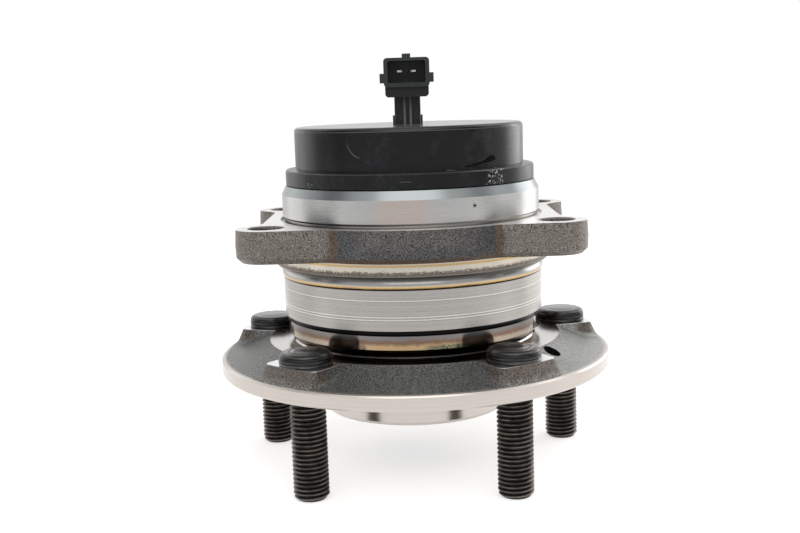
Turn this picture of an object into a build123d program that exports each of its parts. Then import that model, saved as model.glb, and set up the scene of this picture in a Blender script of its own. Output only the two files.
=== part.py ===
from build123d import *
import math
import os

os.makedirs("parts", exist_ok=True)

# Wheel hub bearing: a flanged hub runs on two rows of balls in a flanged outer ring,
# which carries a closed cap with a wheel speed sensor. Millimetres. The origin is on the
# bearing axis, in the face that the wheel seats on. +Z points inboard, to the knuckle.

# Fits and clearances
PRESS_GAP = 0.02
SEAL_GAP = 0.3
BALL_GAP = 0.1
POCKET_GAP = 0.2
RACE_OPENING = 0.15

# Rolling elements
BALL_COUNT = 14
BALL_R = 6.35
PITCH_R = 33.0
CONTACT_ANGLE = 38.0
OUTBOARD_ROW_Z = 27.0
INBOARD_ROW_Z = 53.0
SHOULDER_HEIGHT = 3.2
CAGE_R_IN = 30.6
CAGE_R_OUT = 35.4
CAGE_BACK = 8.0
CAGE_TIPS = 4.0

# Hub flange and wheel pilot
FLANGE_EDGE = 12.35
RIM_T = 5.0
RIM_BEVEL = 0.5
PAD_Z = 10.5
ANNULUS_R = 52.0
FACE_HOLLOW = 1.0
HEAD_OVERHANG = 0.15
PAD_SIDE = 2.4
PAD_DRAFT = 24.0
PAD_ROOT = 1.0
PAD_CORNER_R = 2.5
COLLAR_R = 43.0
COLLAR_STEP = 0.5
PILOT_R = 33.5
PILOT_L = 15.3
PILOT_CHAMFER = 1.2
RECESS_R = 25.0
RECESS_FLOOR_R = 20.0
RECESS_FLOOR_Z = 14.0
RECESS_FILLET = 4.0
CENTRE_DRILL_R = 4.0

# Wheel studs and the brake disc screw hole
STUD_COUNT = 5
STUD_PITCH_R = 57.15
FIRST_STUD_ANGLE = -38.34
STUD_R = 5.95
STUD_L = 35.0
STUD_POINT = 1.2
KNURL_R = 6.6
HEAD_R = 8.8
HEAD_T = 4.1
HEAD_BEVEL = 1.8
HEAD_CROWN_R = 7.9
HEAD_CROWN_DROP = 0.7
HEAD_FACE_R = 6.3
DISC_SCREW_R = 2.8
DISC_SCREW_PITCH_R = 55.5
DISC_SCREW_ANGLE = 56.0
SCREW_CHAMFER = 0.5

# Spindle, inner ring and rolled lip
SEAT_R = 20.5
SEAT_Z = 41.0
INNER_RING_END_Z = 66.0
RING_CHAMFER = 0.5
LIP_R = 25.5
LIP_H = 4.2
DISH_R = 13.0
DISH_DEPTH = 5.0
ROOT_FILLET = 3.0

# Outer ring
RING_START_Z = 12.7
RING_END_Z = 65.2
BORE_R = 39.45
NOSE_R = 45.3
NOSE_L = 5.6
NOSE_ROUND = 1.0
GROOVE_W = 1.5
GROOVE_R = 44.2
BODY_R = 46.1
BODY_END_Z = 33.6
BODY_EDGE = 0.3
BEAD_R = 46.6
BEAD_END_Z = 36.5
SHOULDER_COLLAR_R = 48.4
SHOULDER_COLLAR_Z = 38.0
SHOULDER_COLLAR_EDGE = 0.4
SPIGOT_R = 45.5
SPIGOT_CHAMFER_W = 1.5
SPIGOT_CHAMFER_L = 2.9
RELIEF_R = 44.9
RELIEF_R_OUT = 46.3
RELIEF_W = 1.4
RELIEF_DEPTH = 0.6

# Mounting flange and its four ears
PLATE_Z = 42.3
PLATE_T = 11.0
PLATE_MIDDLE_R = 50.3
EAR_X = 48.0
EAR_Y = 31.5
EAR_R = 10.3
WAIST_X = 51.0
WAIST_FILLET = 8.0
NEAR = 0.01
PLATE_DRAFT = 3.0
PLATE_EDGE = 1.6
BOLT_HOLE_R = 5.75
BOLT_CHAMFER = 0.5

# Cap and its seal ring
CAP_BAND_INSET = 0.13
CAP_BAND_L = 5.4
CAP_BAND_EDGE = 0.4
CAP_STEP_RISE = 0.5
CAP_DRUM_GAP = 2.085
CAP_TOP_Z = 85.2
CAP_TOP_ROUND = 1.5
CAP_WALL = 2.0
CAP_ROOF = 2.2
SKIRT_L = 5.3
SKIRT_GAP = 0.6
SKIRT_LEAD = 0.5
SEAL_RING_R = 0.7
SEAL_GROOVE_W = 2.0
SEAL_GROOVE_DEPTH = 1.43

# Outboard seal
SEAL_CASE_T = 0.9
SEAL_CASE_L = 5.2
SEAL_RECESS = 0.5
SEAL_CASE_R_IN = 33.0
LIP_ROOT_T = 1.2
LIP_TIP_DROP = 1.8
FACE_LIP_R = 37.0
FACE_LIP_T = 0.9

# Encoder ring on the inner ring
CARRIER_T = 0.8
CARRIER_L = 5.0
CARRIER_STANDOUT = 1.2
ENCODER_W = 5.63
ENCODER_T = 1.2

# Speed sensor with its socket
SENSOR_GAP = 1.2
SOCKET_W = 15.7
SOCKET_H = 9.95
SOCKET_Z = 98.0
SOCKET_ROUND = 1.3
SOCKET_FRONT_Y = -11.0
SOCKET_DEPTH = 11.0
SOCKET_BACK_T = 6.0
MOUTH_W = 12.9
MOUTH_H = 7.4
MOUTH_FLOOR_T = 1.45
MOUTH_ROUND = 0.6
KEY_W = 2.9
KEY_H = 1.3
KEY_L = 5.0
KEY_ROOT = 1.0
EAR_TAB_W = 1.4
EAR_TAB_H = 3.2
EAR_TAB_Z = 99.5
INNER_KEY_W = 0.8
INNER_KEY_H = 0.7
INNER_KEY_SETBACK = 1.0
BLOCK_W = 15.0
BLOCK_Z = 94.6
BLOCK_SETBACK = 1.5
STEM_W = 9.1
STEM_D = 10.0
STEM_ROUND = 0.8
STEM_RIB_W = 0.7
STEM_RIB_DEPTH = 0.5
STEM_RIB_SPACING = 2.1
FOOT_COLLAR_W = 10.5
FOOT_COLLAR_H = 3.1
FOOT_COLLAR_D = 6.0
ARM_W = 9.0
ARM_T = 3.2
SENSOR_HEAD_L = 5.6
CHIP_W = 4.4
CHIP_L = 3.2
CHIP_T = 1.6
BLADE_W = 2.2
BLADE_T = 0.63
BLADE_POINT = 0.38
BLADE_RISE = 0.3
BLADE_PITCH = 5.0
BLADE_RECESS = 5.0
BLADE_ROOT = 3.5
LEAD_W = 1.4
LEAD_END_Z = 88.5

# Sizes that follow from those above
FLANGE_R = STUD_PITCH_R + FLANGE_EDGE
PAD_TIP_R = STUD_PITCH_R + HEAD_R - HEAD_OVERHANG
PAD_W = 2 * (HEAD_R + PAD_SIDE)
RACE_R = BALL_R + BALL_GAP + RACE_OPENING
INNER_LAND_R = PITCH_R - BALL_R - BALL_GAP
SHOULDER_R = INNER_LAND_R + SHOULDER_HEIGHT
OUTER_LAND_R = PITCH_R + BALL_R + BALL_GAP - SHOULDER_HEIGHT
PLATE_TOP_Z = PLATE_Z + PLATE_T
COLLAR_Z = PAD_Z + COLLAR_STEP
SPIGOT_CHAMFER_R = SPIGOT_R - SPIGOT_CHAMFER_W
CAP_ROOF_Z = CAP_TOP_Z - CAP_ROOF
CAP_BAND_R = SPIGOT_CHAMFER_R - CAP_BAND_INSET
CAP_BAND_Z = RING_END_Z + PRESS_GAP
ENCODER_Z = INNER_RING_END_Z + CARRIER_STANDOUT
SENSOR_FACE_Z = ENCODER_Z + ENCODER_T + SENSOR_GAP
ENCODER_R = SHOULDER_R + PRESS_GAP + CARRIER_T + ENCODER_W
SENSOR_R = ENCODER_R - ENCODER_W / 2
CAP_DRUM_R = SENSOR_R + SENSOR_HEAD_L / 2 + CAP_DRUM_GAP + CAP_WALL
SKIRT_R_IN = ENCODER_R + SKIRT_GAP
BLADE_Z = SOCKET_Z + MOUTH_FLOOR_T + MOUTH_H / 2 + BLADE_RISE


def polar(radius, angle):
    """Place on a circle, with the angle in degrees counted from -Y towards +X."""
    turn = math.radians(angle)
    return radius * math.sin(turn), -radius * math.cos(turn)


def turned(*edges):
    """Solid of revolution about Z from a closed outline of radius and height."""
    outline = [edge for line in edges for edge in line.edges()]
    return revolve(Plane.XZ * make_face(outline), Axis.Z)


def raceway(row_z, outward, towards_middle):
    """Torus that cuts one raceway, open by RACE_OPENING and touched at the contact angle."""
    angle = math.radians(CONTACT_ANGLE)
    major = PITCH_R - outward * RACE_OPENING * math.cos(angle)
    height = row_z - outward * towards_middle * RACE_OPENING * math.sin(angle)
    return Pos(0, 0, height) * Torus(major, RACE_R)


def flange_face():
    """Hollow forged face between the rim and the machined annulus, as an arc."""
    outer = Vector(FLANGE_R - RIM_BEVEL, RIM_T)
    inner = Vector(ANNULUS_R, PAD_Z)
    chord = (inner - outer).normalized()
    middle = (outer + inner) / 2 + Vector(chord.Y, -chord.X) * -FACE_HOLLOW
    return ThreePointArc(outer, middle, inner)


def stud_pad():
    """Raised pad under a stud head, machined flat on top and drafted down to the face."""
    inner_x = COLLAR_R + PAD_ROOT
    blank = Pos((inner_x + PAD_TIP_R) / 2, 0) * Rectangle(PAD_TIP_R - inner_x, PAD_W)
    top = blank & Circle(PAD_TIP_R)
    top = fillet(top.vertices(), PAD_CORNER_R)
    return Pos(0, 0, PAD_Z) * extrude(top, -(PAD_Z - RIM_T / 2), taper=-PAD_DRAFT)


def hub():
    """Forged hub: wheel pilot, flange with five pads, seal seat, outboard race and spindle."""
    lip_top = INNER_RING_END_Z + LIP_H
    lip_mid_r = (LIP_R + DISH_R) / 2
    below = Polyline(
        (0, RECESS_FLOOR_Z + CENTRE_DRILL_R),
        (CENTRE_DRILL_R, RECESS_FLOOR_Z),
        (RECESS_FLOOR_R - RECESS_FILLET, RECESS_FLOOR_Z),
        (RECESS_FLOOR_R, RECESS_FLOOR_Z - RECESS_FILLET),
        (RECESS_R, -PILOT_L),
        (PILOT_R - PILOT_CHAMFER, -PILOT_L),
        (PILOT_R, -PILOT_L + PILOT_CHAMFER),
        (PILOT_R, 0),
        (FLANGE_R - RIM_BEVEL, 0),
        (FLANGE_R, RIM_BEVEL),
        (FLANGE_R, RIM_T - RIM_BEVEL),
        (FLANGE_R - RIM_BEVEL, RIM_T),
    )
    seat = Polyline(
        (ANNULUS_R, PAD_Z),
        (COLLAR_R + COLLAR_STEP, PAD_Z),
        (COLLAR_R, COLLAR_Z),
        (SHOULDER_R + ROOT_FILLET, COLLAR_Z),
    )
    root = RadiusArc(
        (SHOULDER_R + ROOT_FILLET, COLLAR_Z), (SHOULDER_R, COLLAR_Z + ROOT_FILLET), ROOT_FILLET
    )
    spindle = Polyline(
        (SHOULDER_R, COLLAR_Z + ROOT_FILLET),
        (SHOULDER_R, OUTBOARD_ROW_Z),
        (INNER_LAND_R, OUTBOARD_ROW_Z),
        (INNER_LAND_R, SEAT_Z),
        (SEAT_R, SEAT_Z),
        (SEAT_R, INNER_RING_END_Z),
        (LIP_R, INNER_RING_END_Z),
    )
    lip = ThreePointArc(
        (LIP_R, INNER_RING_END_Z), (lip_mid_r, lip_top), (DISH_R, lip_top - DISH_DEPTH / 2)
    )
    dish = Polyline(
        (DISH_R, lip_top - DISH_DEPTH / 2),
        (DISH_R - DISH_DEPTH / 2, lip_top - DISH_DEPTH),
        (0, lip_top - DISH_DEPTH),
        (0, RECESS_FLOOR_Z + CENTRE_DRILL_R),
    )
    solid = turned(below, flange_face(), seat, root, spindle, lip, dish)
    pad = stud_pad()
    for stud in range(STUD_COUNT):
        solid += Rot(0, 0, stud_angle(stud) - 90) * pad
    solid -= raceway(OUTBOARD_ROW_Z, -1, 1)
    for stud in range(STUD_COUNT):
        x, y = polar(STUD_PITCH_R, stud_angle(stud))
        solid -= Pos(x, y, PAD_Z / 2) * Cylinder(KNURL_R + PRESS_GAP, 2 * PAD_Z)
    x, y = polar(DISC_SCREW_PITCH_R, DISC_SCREW_ANGLE)
    solid -= Pos(x, y, PAD_Z / 2) * Cylinder(DISC_SCREW_R, 2 * PAD_Z)
    solid -= Pos(x, y, SCREW_CHAMFER / 2) * Cone(
        DISC_SCREW_R + SCREW_CHAMFER, DISC_SCREW_R, SCREW_CHAMFER
    )
    return solid


def stud_angle(stud):
    """Angle of one stud on the bolt circle."""
    return FIRST_STUD_ANGLE + stud * 360 / STUD_COUNT


def wheel_stud(stud):
    """Pressed-in wheel stud with a bevelled round head and a knurled neck."""
    head_top = PAD_Z + PRESS_GAP + HEAD_T
    solid = turned(
        Polyline(
            (0, head_top),
            (HEAD_FACE_R, head_top),
            (HEAD_CROWN_R, head_top - HEAD_CROWN_DROP),
            (HEAD_R, head_top - HEAD_BEVEL),
            (HEAD_R, PAD_Z + PRESS_GAP),
            (KNURL_R, PAD_Z + PRESS_GAP),
            (KNURL_R, KNURL_R - STUD_R),
            (STUD_R, 0),
            (STUD_R, -STUD_L + STUD_POINT),
            (STUD_R - STUD_POINT, -STUD_L),
            (0, -STUD_L),
            close=True,
        )
    )
    x, y = polar(STUD_PITCH_R, stud_angle(stud))
    return Pos(x, y, 0) * solid


def inner_ring():
    """Inboard inner ring, seated on the spindle and held by the rolled lip."""
    bore = SEAT_R + PRESS_GAP
    solid = turned(
        Polyline(
            (bore, SEAT_Z + RING_CHAMFER),
            (bore + RING_CHAMFER, SEAT_Z),
            (INNER_LAND_R - RING_CHAMFER, SEAT_Z),
            (INNER_LAND_R, SEAT_Z + RING_CHAMFER),
            (INNER_LAND_R, INBOARD_ROW_Z),
            (SHOULDER_R, INBOARD_ROW_Z),
            (SHOULDER_R, INNER_RING_END_Z - RING_CHAMFER),
            (SHOULDER_R - RING_CHAMFER, INNER_RING_END_Z),
            (bore + RING_CHAMFER, INNER_RING_END_Z),
            (bore, INNER_RING_END_Z - RING_CHAMFER),
            close=True,
        )
    )
    return solid - raceway(INBOARD_ROW_Z, -1, -1)


def plate_outline():
    """Mounting flange in plan: a round middle, four ears and a waist on each side."""
    plate = Rectangle(2 * EAR_X, 2 * (EAR_Y + EAR_R)) + Rectangle(2 * WAIST_X, 2 * EAR_Y)
    for x in (-EAR_X, EAR_X):
        for y in (-EAR_Y, EAR_Y):
            plate += Pos(x, y) * Circle(EAR_R)
    plate += Circle(PLATE_MIDDLE_R)
    corners = [corner for corner in plate.vertices() if is_inner_corner(corner)]
    return fillet(corners, WAIST_FILLET)


def is_inner_corner(corner):
    """True where an ear meets the waist, or the round middle meets the straight front."""
    at_waist = abs(corner.Y) < EAR_Y and abs(corner.X) > WAIST_X - NEAR
    on_front = abs(corner.Y) > EAR_Y + EAR_R - NEAR and abs(corner.X) < EAR_X - NEAR
    return at_waist or on_front


def mounting_plate():
    """Forged flange: drafted both ways from its parting line, machined flat on top."""
    outline = plate_outline()
    upper = extrude(outline, PLATE_T / 2, taper=PLATE_DRAFT)
    lower = extrude(outline, -PLATE_T / 2, taper=PLATE_DRAFT)
    plate = Pos(0, 0, PLATE_Z + PLATE_T / 2) * (upper + lower)
    under = plate.faces().sort_by(Axis.Z)[0]
    return chamfer(under.edges(), PLATE_EDGE)


def outer_ring():
    """Forged and turned outer ring with the mounting flange, spigot and both outer races."""
    groove_z = RING_START_Z + NOSE_L
    body_z = groove_z + GROOVE_W
    profile = Polyline(
        (BORE_R, RING_START_Z),
        (NOSE_R - NOSE_ROUND, RING_START_Z),
        (NOSE_R, RING_START_Z + NOSE_ROUND),
        (NOSE_R, groove_z),
        (GROOVE_R, groove_z),
        (GROOVE_R, body_z),
        (BODY_R - BODY_EDGE, body_z),
        (BODY_R, body_z + BODY_EDGE),
        (BODY_R, BODY_END_Z),
    )
    bead = ThreePointArc(
        (BODY_R, BODY_END_Z), (BEAD_R, (BODY_END_Z + BEAD_END_Z) / 2), (BODY_R, BEAD_END_Z)
    )
    collar = Polyline(
        (BODY_R, BEAD_END_Z),
        (SHOULDER_COLLAR_R - SHOULDER_COLLAR_EDGE, SHOULDER_COLLAR_Z - SHOULDER_COLLAR_EDGE),
        (SHOULDER_COLLAR_R, SHOULDER_COLLAR_Z),
        (SHOULDER_COLLAR_R, PLATE_Z + PLATE_T / 2),
        (RELIEF_R_OUT, PLATE_TOP_Z - RELIEF_DEPTH),
        (RELIEF_R, PLATE_TOP_Z - RELIEF_DEPTH),
        (RELIEF_R, PLATE_TOP_Z + RELIEF_W / 2),
        (SPIGOT_R, PLATE_TOP_Z + RELIEF_W),
        (SPIGOT_R, RING_END_Z - SPIGOT_CHAMFER_L),
        (SPIGOT_CHAMFER_R, RING_END_Z),
        (BORE_R + RING_CHAMFER, RING_END_Z),
        (BORE_R, RING_END_Z - RING_CHAMFER),
        (BORE_R, INBOARD_ROW_Z),
        (OUTER_LAND_R, INBOARD_ROW_Z),
        (OUTER_LAND_R, OUTBOARD_ROW_Z),
        (BORE_R, OUTBOARD_ROW_Z),
        (BORE_R, RING_START_Z),
    )
    solid = turned(profile, bead, collar)
    solid += mounting_plate() - Pos(0, 0, PLATE_Z) * Cylinder(RELIEF_R_OUT, 3 * PLATE_T)
    for x in (-EAR_X, EAR_X):
        for y in (-EAR_Y, EAR_Y):
            solid -= Pos(x, y, PLATE_Z) * Cylinder(BOLT_HOLE_R, 3 * PLATE_T)
            solid -= Pos(x, y, PLATE_TOP_Z - BOLT_CHAMFER / 2) * Cone(
                BOLT_HOLE_R, BOLT_HOLE_R + BOLT_CHAMFER, BOLT_CHAMFER
            )
    solid -= raceway(INBOARD_ROW_Z, 1, -1)
    return solid - raceway(OUTBOARD_ROW_Z, 1, 1)


def ball_places(row_z):
    """Centres of one row of balls."""
    return [
        (*polar(PITCH_R, ball * 360 / BALL_COUNT), row_z) for ball in range(BALL_COUNT)
    ]


def cage(row_z, backward):
    """Moulded snap cage: a ring with one spherical pocket for each ball."""
    back = row_z + backward * CAGE_BACK
    tips = row_z - backward * CAGE_TIPS
    ring = turned(
        Polyline(
            (CAGE_R_IN, back), (CAGE_R_OUT, back), (CAGE_R_OUT, tips), (CAGE_R_IN, tips), close=True
        )
    )
    for place in ball_places(row_z):
        ring -= Pos(*place) * Sphere(BALL_R + POCKET_GAP)
    return ring


def seal_case():
    """Pressed steel case of the outboard seal, fitted in the nose of the outer ring."""
    outer = BORE_R - PRESS_GAP
    mouth = RING_START_Z + SEAL_RECESS
    floor = mouth + SEAL_CASE_L
    return turned(
        Polyline(
            (outer, mouth),
            (outer, floor),
            (SEAL_CASE_R_IN, floor),
            (SEAL_CASE_R_IN, floor - SEAL_CASE_T),
            (outer - SEAL_CASE_T, floor - SEAL_CASE_T),
            (outer - SEAL_CASE_T, mouth),
            close=True,
        )
    )


def seal_lip():
    """Rubber of the outboard seal: a radial lip to the hub's neck and a lip to its face."""
    outer = BORE_R - PRESS_GAP - SEAL_CASE_T
    floor = RING_START_Z + SEAL_RECESS + SEAL_CASE_L
    under = floor - SEAL_CASE_T
    neck = SHOULDER_R + SEAL_GAP
    face = COLLAR_Z + SEAL_GAP
    return turned(
        Polyline(
            (outer, under),
            (SEAL_CASE_R_IN, under),
            (SEAL_CASE_R_IN, floor),
            (SEAL_CASE_R_IN - LIP_ROOT_T, floor),
            (neck, under - LIP_ROOT_T),
            (neck, under - LIP_TIP_DROP),
            (SEAL_CASE_R_IN, under - LIP_ROOT_T),
            (SEAL_CASE_R_IN + LIP_ROOT_T, under - LIP_ROOT_T),
            (FACE_LIP_R, face),
            (FACE_LIP_R + FACE_LIP_T, face),
            (FACE_LIP_R, under - LIP_ROOT_T),
            (outer, under - LIP_ROOT_T),
            close=True,
        )
    )


def sensor_stem_outline(gap):
    """Rounded section of the sensor's stem where it passes the cap's roof."""
    return RectangleRounded(STEM_W + 2 * gap, STEM_D + 2 * gap, STEM_ROUND + gap)


def cap_shell():
    """Moulded cap: skirt in the outer ring's bore, band on its end, drum and flat roof."""
    skirt_r = BORE_R - PRESS_GAP
    skirt_end = CAP_BAND_Z - SKIRT_L
    groove_r = skirt_r - SEAL_GROOVE_DEPTH
    groove_z = skirt_end + (SKIRT_L - SEAL_GROOVE_W) / 2
    band_top = CAP_BAND_Z + CAP_BAND_L
    inner_r = CAP_DRUM_R - CAP_WALL
    outside = Polyline(
        (SKIRT_R_IN, skirt_end),
        (skirt_r - SKIRT_LEAD, skirt_end),
        (skirt_r, skirt_end + SKIRT_LEAD),
        (skirt_r, groove_z),
        (groove_r, groove_z),
        (groove_r, groove_z + SEAL_GROOVE_W),
        (skirt_r, groove_z + SEAL_GROOVE_W),
        (skirt_r, CAP_BAND_Z),
        (CAP_BAND_R - CAP_BAND_EDGE, CAP_BAND_Z),
        (CAP_BAND_R, CAP_BAND_Z + CAP_BAND_EDGE),
        (CAP_BAND_R, band_top - CAP_BAND_EDGE),
        (CAP_BAND_R - CAP_BAND_EDGE, band_top),
        (CAP_DRUM_R, band_top + CAP_STEP_RISE),
        (CAP_DRUM_R, CAP_TOP_Z - CAP_TOP_ROUND),
    )
    edge = RadiusArc(
        (CAP_DRUM_R, CAP_TOP_Z - CAP_TOP_ROUND), (CAP_DRUM_R - CAP_TOP_ROUND, CAP_TOP_Z), -CAP_TOP_ROUND
    )
    inside = Polyline(
        (CAP_DRUM_R - CAP_TOP_ROUND, CAP_TOP_Z),
        (0, CAP_TOP_Z),
        (0, CAP_ROOF_Z),
        (inner_r - CAP_TOP_ROUND, CAP_ROOF_Z),
        (inner_r, CAP_ROOF_Z - CAP_TOP_ROUND),
        (inner_r, band_top + CAP_STEP_RISE),
        (SKIRT_R_IN, band_top),
        (SKIRT_R_IN, skirt_end),
    )
    passage = extrude(sensor_stem_outline(PRESS_GAP), 2 * CAP_ROOF)
    return turned(outside, edge, inside) - Pos(0, 0, CAP_ROOF_Z - CAP_ROOF / 2) * passage


def cap_seal_ring():
    """Rubber ring that seals the cap's skirt in the outer ring."""
    skirt_end = CAP_BAND_Z - SKIRT_L
    centre_r = BORE_R - PRESS_GAP - SEAL_GROOVE_DEPTH + SEAL_RING_R + PRESS_GAP
    return Pos(0, 0, skirt_end + SKIRT_L / 2) * Torus(centre_r, SEAL_RING_R)


def encoder_carrier():
    """Pressed steel carrier on the inner ring's shoulder."""
    inner = SHOULDER_R + PRESS_GAP
    low = INNER_RING_END_Z - CARRIER_L
    top = ENCODER_Z
    return turned(
        Polyline(
            (inner, low),
            (inner + CARRIER_T, low),
            (inner + CARRIER_T, top - CARRIER_T),
            (ENCODER_R, top - CARRIER_T),
            (ENCODER_R, top),
            (inner, top),
            close=True,
        )
    )


def encoder_ring():
    """Magnetised rubber ring bonded on the carrier's face."""
    inner = SHOULDER_R + PRESS_GAP + CARRIER_T
    return turned(
        Polyline(
            (inner, ENCODER_Z),
            (ENCODER_R, ENCODER_Z),
            (ENCODER_R, ENCODER_Z + ENCODER_T),
            (inner, ENCODER_Z + ENCODER_T),
            close=True,
        )
    )


def terminal(side):
    """Flat blade in the socket, bent down into a lead inside the stem."""
    x = side * BLADE_PITCH / 2
    tip_y = SOCKET_FRONT_Y + BLADE_RECESS
    root_y = SOCKET_FRONT_Y + SOCKET_DEPTH + BLADE_ROOT
    blade = Pos(x, (tip_y + root_y) / 2, BLADE_Z) * Box(BLADE_W, root_y - tip_y, BLADE_T)
    blade = chamfer(blade.edges().filter_by(Axis.Z).sort_by(Axis.Y)[:2], BLADE_POINT)
    lead_l = BLADE_Z + BLADE_T / 2 - LEAD_END_Z
    lead = Pos(x, root_y - BLADE_T / 2, LEAD_END_Z + lead_l / 2) * Box(LEAD_W, BLADE_T, lead_l)
    return blade + lead


def socket():
    """Rectangular socket with its key, side tabs and the block behind it."""
    back_y = SOCKET_FRONT_Y + SOCKET_DEPTH + SOCKET_BACK_T
    front = Plane((0, SOCKET_FRONT_Y, SOCKET_Z), x_dir=(1, 0, 0), z_dir=(0, -1, 0))
    shell = Pos(0, SOCKET_H / 2) * RectangleRounded(SOCKET_W, SOCKET_H, SOCKET_ROUND)
    body = extrude(front * shell, -(back_y - SOCKET_FRONT_Y))
    key = Pos(0, SOCKET_H + (KEY_H - KEY_ROOT) / 2) * Rectangle(KEY_W, KEY_H + KEY_ROOT)
    body += extrude(front * key, -KEY_L)
    tabs = Pos(0, EAR_TAB_Z - SOCKET_Z + EAR_TAB_H / 2) * Rectangle(
        SOCKET_W + 2 * EAR_TAB_W, EAR_TAB_H
    )
    body += extrude(front * tabs, -KEY_L)
    block_h = SOCKET_Z + SOCKET_H / 2 - BLOCK_Z
    block = Pos(0, BLOCK_Z - SOCKET_Z + block_h / 2) * RectangleRounded(
        BLOCK_W, block_h, SOCKET_ROUND
    )
    body += extrude(front.offset(-BLOCK_SETBACK) * block, -(back_y - SOCKET_FRONT_Y - BLOCK_SETBACK))
    mouth = Pos(0, MOUTH_FLOOR_T + MOUTH_H / 2) * RectangleRounded(MOUTH_W, MOUTH_H, MOUTH_ROUND)
    body -= extrude(front * mouth, -SOCKET_DEPTH)
    inner_key = Pos(0, MOUTH_FLOOR_T + INNER_KEY_H / 2) * Rectangle(INNER_KEY_W, INNER_KEY_H)
    key_plane = front.offset(-INNER_KEY_SETBACK)
    return body + extrude(key_plane * inner_key, INNER_KEY_SETBACK - SOCKET_DEPTH)


def sensor_housing():
    """Moulded sensor: socket, ribbed stem through the cap, arm and head over the encoder."""
    arm_z = CAP_ROOF_Z - PRESS_GAP - ARM_T
    stem_h = BLOCK_Z + SOCKET_ROUND - arm_z
    body = socket() + Pos(0, 0, arm_z) * extrude(sensor_stem_outline(0), stem_h)
    rib_h = BLOCK_Z + SOCKET_ROUND - CAP_TOP_Z - PRESS_GAP
    for side in (-1, 1):
        rib = Pos(side * STEM_RIB_SPACING / 2, -STEM_D / 2) * Rectangle(
            STEM_RIB_W, 2 * STEM_RIB_DEPTH
        )
        body += Pos(0, 0, CAP_TOP_Z + PRESS_GAP) * extrude(rib, rib_h)
    collar = RectangleRounded(FOOT_COLLAR_W, FOOT_COLLAR_D, STEM_ROUND)
    body += Pos(0, 0, CAP_TOP_Z + PRESS_GAP) * extrude(collar, FOOT_COLLAR_H)
    reach = SENSOR_R + SENSOR_HEAD_L / 2
    arm = Pos(0, (reach - STEM_D / 2) / 2) * RectangleRounded(
        ARM_W, reach + STEM_D / 2, STEM_ROUND
    )
    body += Pos(0, 0, arm_z) * extrude(arm, ARM_T)
    head = Pos(0, SENSOR_R) * RectangleRounded(ARM_W, SENSOR_HEAD_L, STEM_ROUND)
    body += Pos(0, 0, SENSOR_FACE_Z) * extrude(head, arm_z + ARM_T / 2 - SENSOR_FACE_Z)
    chip = Pos(0, SENSOR_R, SENSOR_FACE_Z + CHIP_T / 2) * Box(CHIP_W, CHIP_L, CHIP_T)
    body -= chip
    for side in (-1, 1):
        body -= terminal(side)
    return body


def sensor_element():
    """Sensing chip, flush with the underside of the sensor's head."""
    gap = 2 * PRESS_GAP
    return Pos(0, SENSOR_R, SENSOR_FACE_Z + CHIP_T / 2) * Box(CHIP_W - gap, CHIP_L - gap, CHIP_T)


def row_of_balls(name, row_z):
    """Balls of one row, each under its own name."""
    balls = {}
    for number, place in enumerate(ball_places(row_z), start=1):
        balls[f"{name}_ball_{number:02d}"] = Pos(*place) * Sphere(BALL_R)
    return balls


pieces = {
    "outer_ring": outer_ring(),
    "seal_case": seal_case(),
    "seal_lip": seal_lip(),
    "cap_shell": cap_shell(),
    "cap_seal_ring": cap_seal_ring(),
    "sensor_housing": sensor_housing(),
    "sensor_terminal_1": terminal(-1),
    "sensor_terminal_2": terminal(1),
    "sensor_element": sensor_element(),
    "hub": hub(),
    "inner_ring": inner_ring(),
    "encoder_carrier": encoder_carrier(),
    "encoder_ring": encoder_ring(),
    "outboard_cage": cage(OUTBOARD_ROW_Z, -1),
    "inboard_cage": cage(INBOARD_ROW_Z, 1),
}
pieces.update(row_of_balls("outboard", OUTBOARD_ROW_Z))
pieces.update(row_of_balls("inboard", INBOARD_ROW_Z))
for stud in range(STUD_COUNT):
    pieces[f"wheel_stud_{stud + 1}"] = wheel_stud(stud)

for name, piece in pieces.items():
    export_step(piece, f"parts/{name}.step")
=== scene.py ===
import math

import bmesh
import bpy
from mathutils import Matrix, Vector


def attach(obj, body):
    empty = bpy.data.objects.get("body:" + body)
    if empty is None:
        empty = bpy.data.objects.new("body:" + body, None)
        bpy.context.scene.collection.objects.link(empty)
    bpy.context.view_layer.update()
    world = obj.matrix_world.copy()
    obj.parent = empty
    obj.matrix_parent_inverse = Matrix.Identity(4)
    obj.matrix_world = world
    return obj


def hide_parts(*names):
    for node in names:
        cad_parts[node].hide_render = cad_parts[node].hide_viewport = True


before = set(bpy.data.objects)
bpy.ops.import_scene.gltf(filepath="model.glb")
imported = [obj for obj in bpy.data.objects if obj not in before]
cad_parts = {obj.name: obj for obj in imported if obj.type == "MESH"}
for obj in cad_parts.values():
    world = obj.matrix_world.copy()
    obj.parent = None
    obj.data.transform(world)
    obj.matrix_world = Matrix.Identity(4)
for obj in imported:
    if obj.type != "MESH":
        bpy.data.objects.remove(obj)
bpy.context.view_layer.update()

MM = 0.001

# ---------------------------------------------------------------- The table and the light
# The bearing stands on its five stud ends on a plain pale table. A broad soft lamp hangs
# over its front, with one soft lamp at the left and two at the right. The room is white
# behind it, greyer in front and dark beside it, and the polished steel mirrors that.

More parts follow.
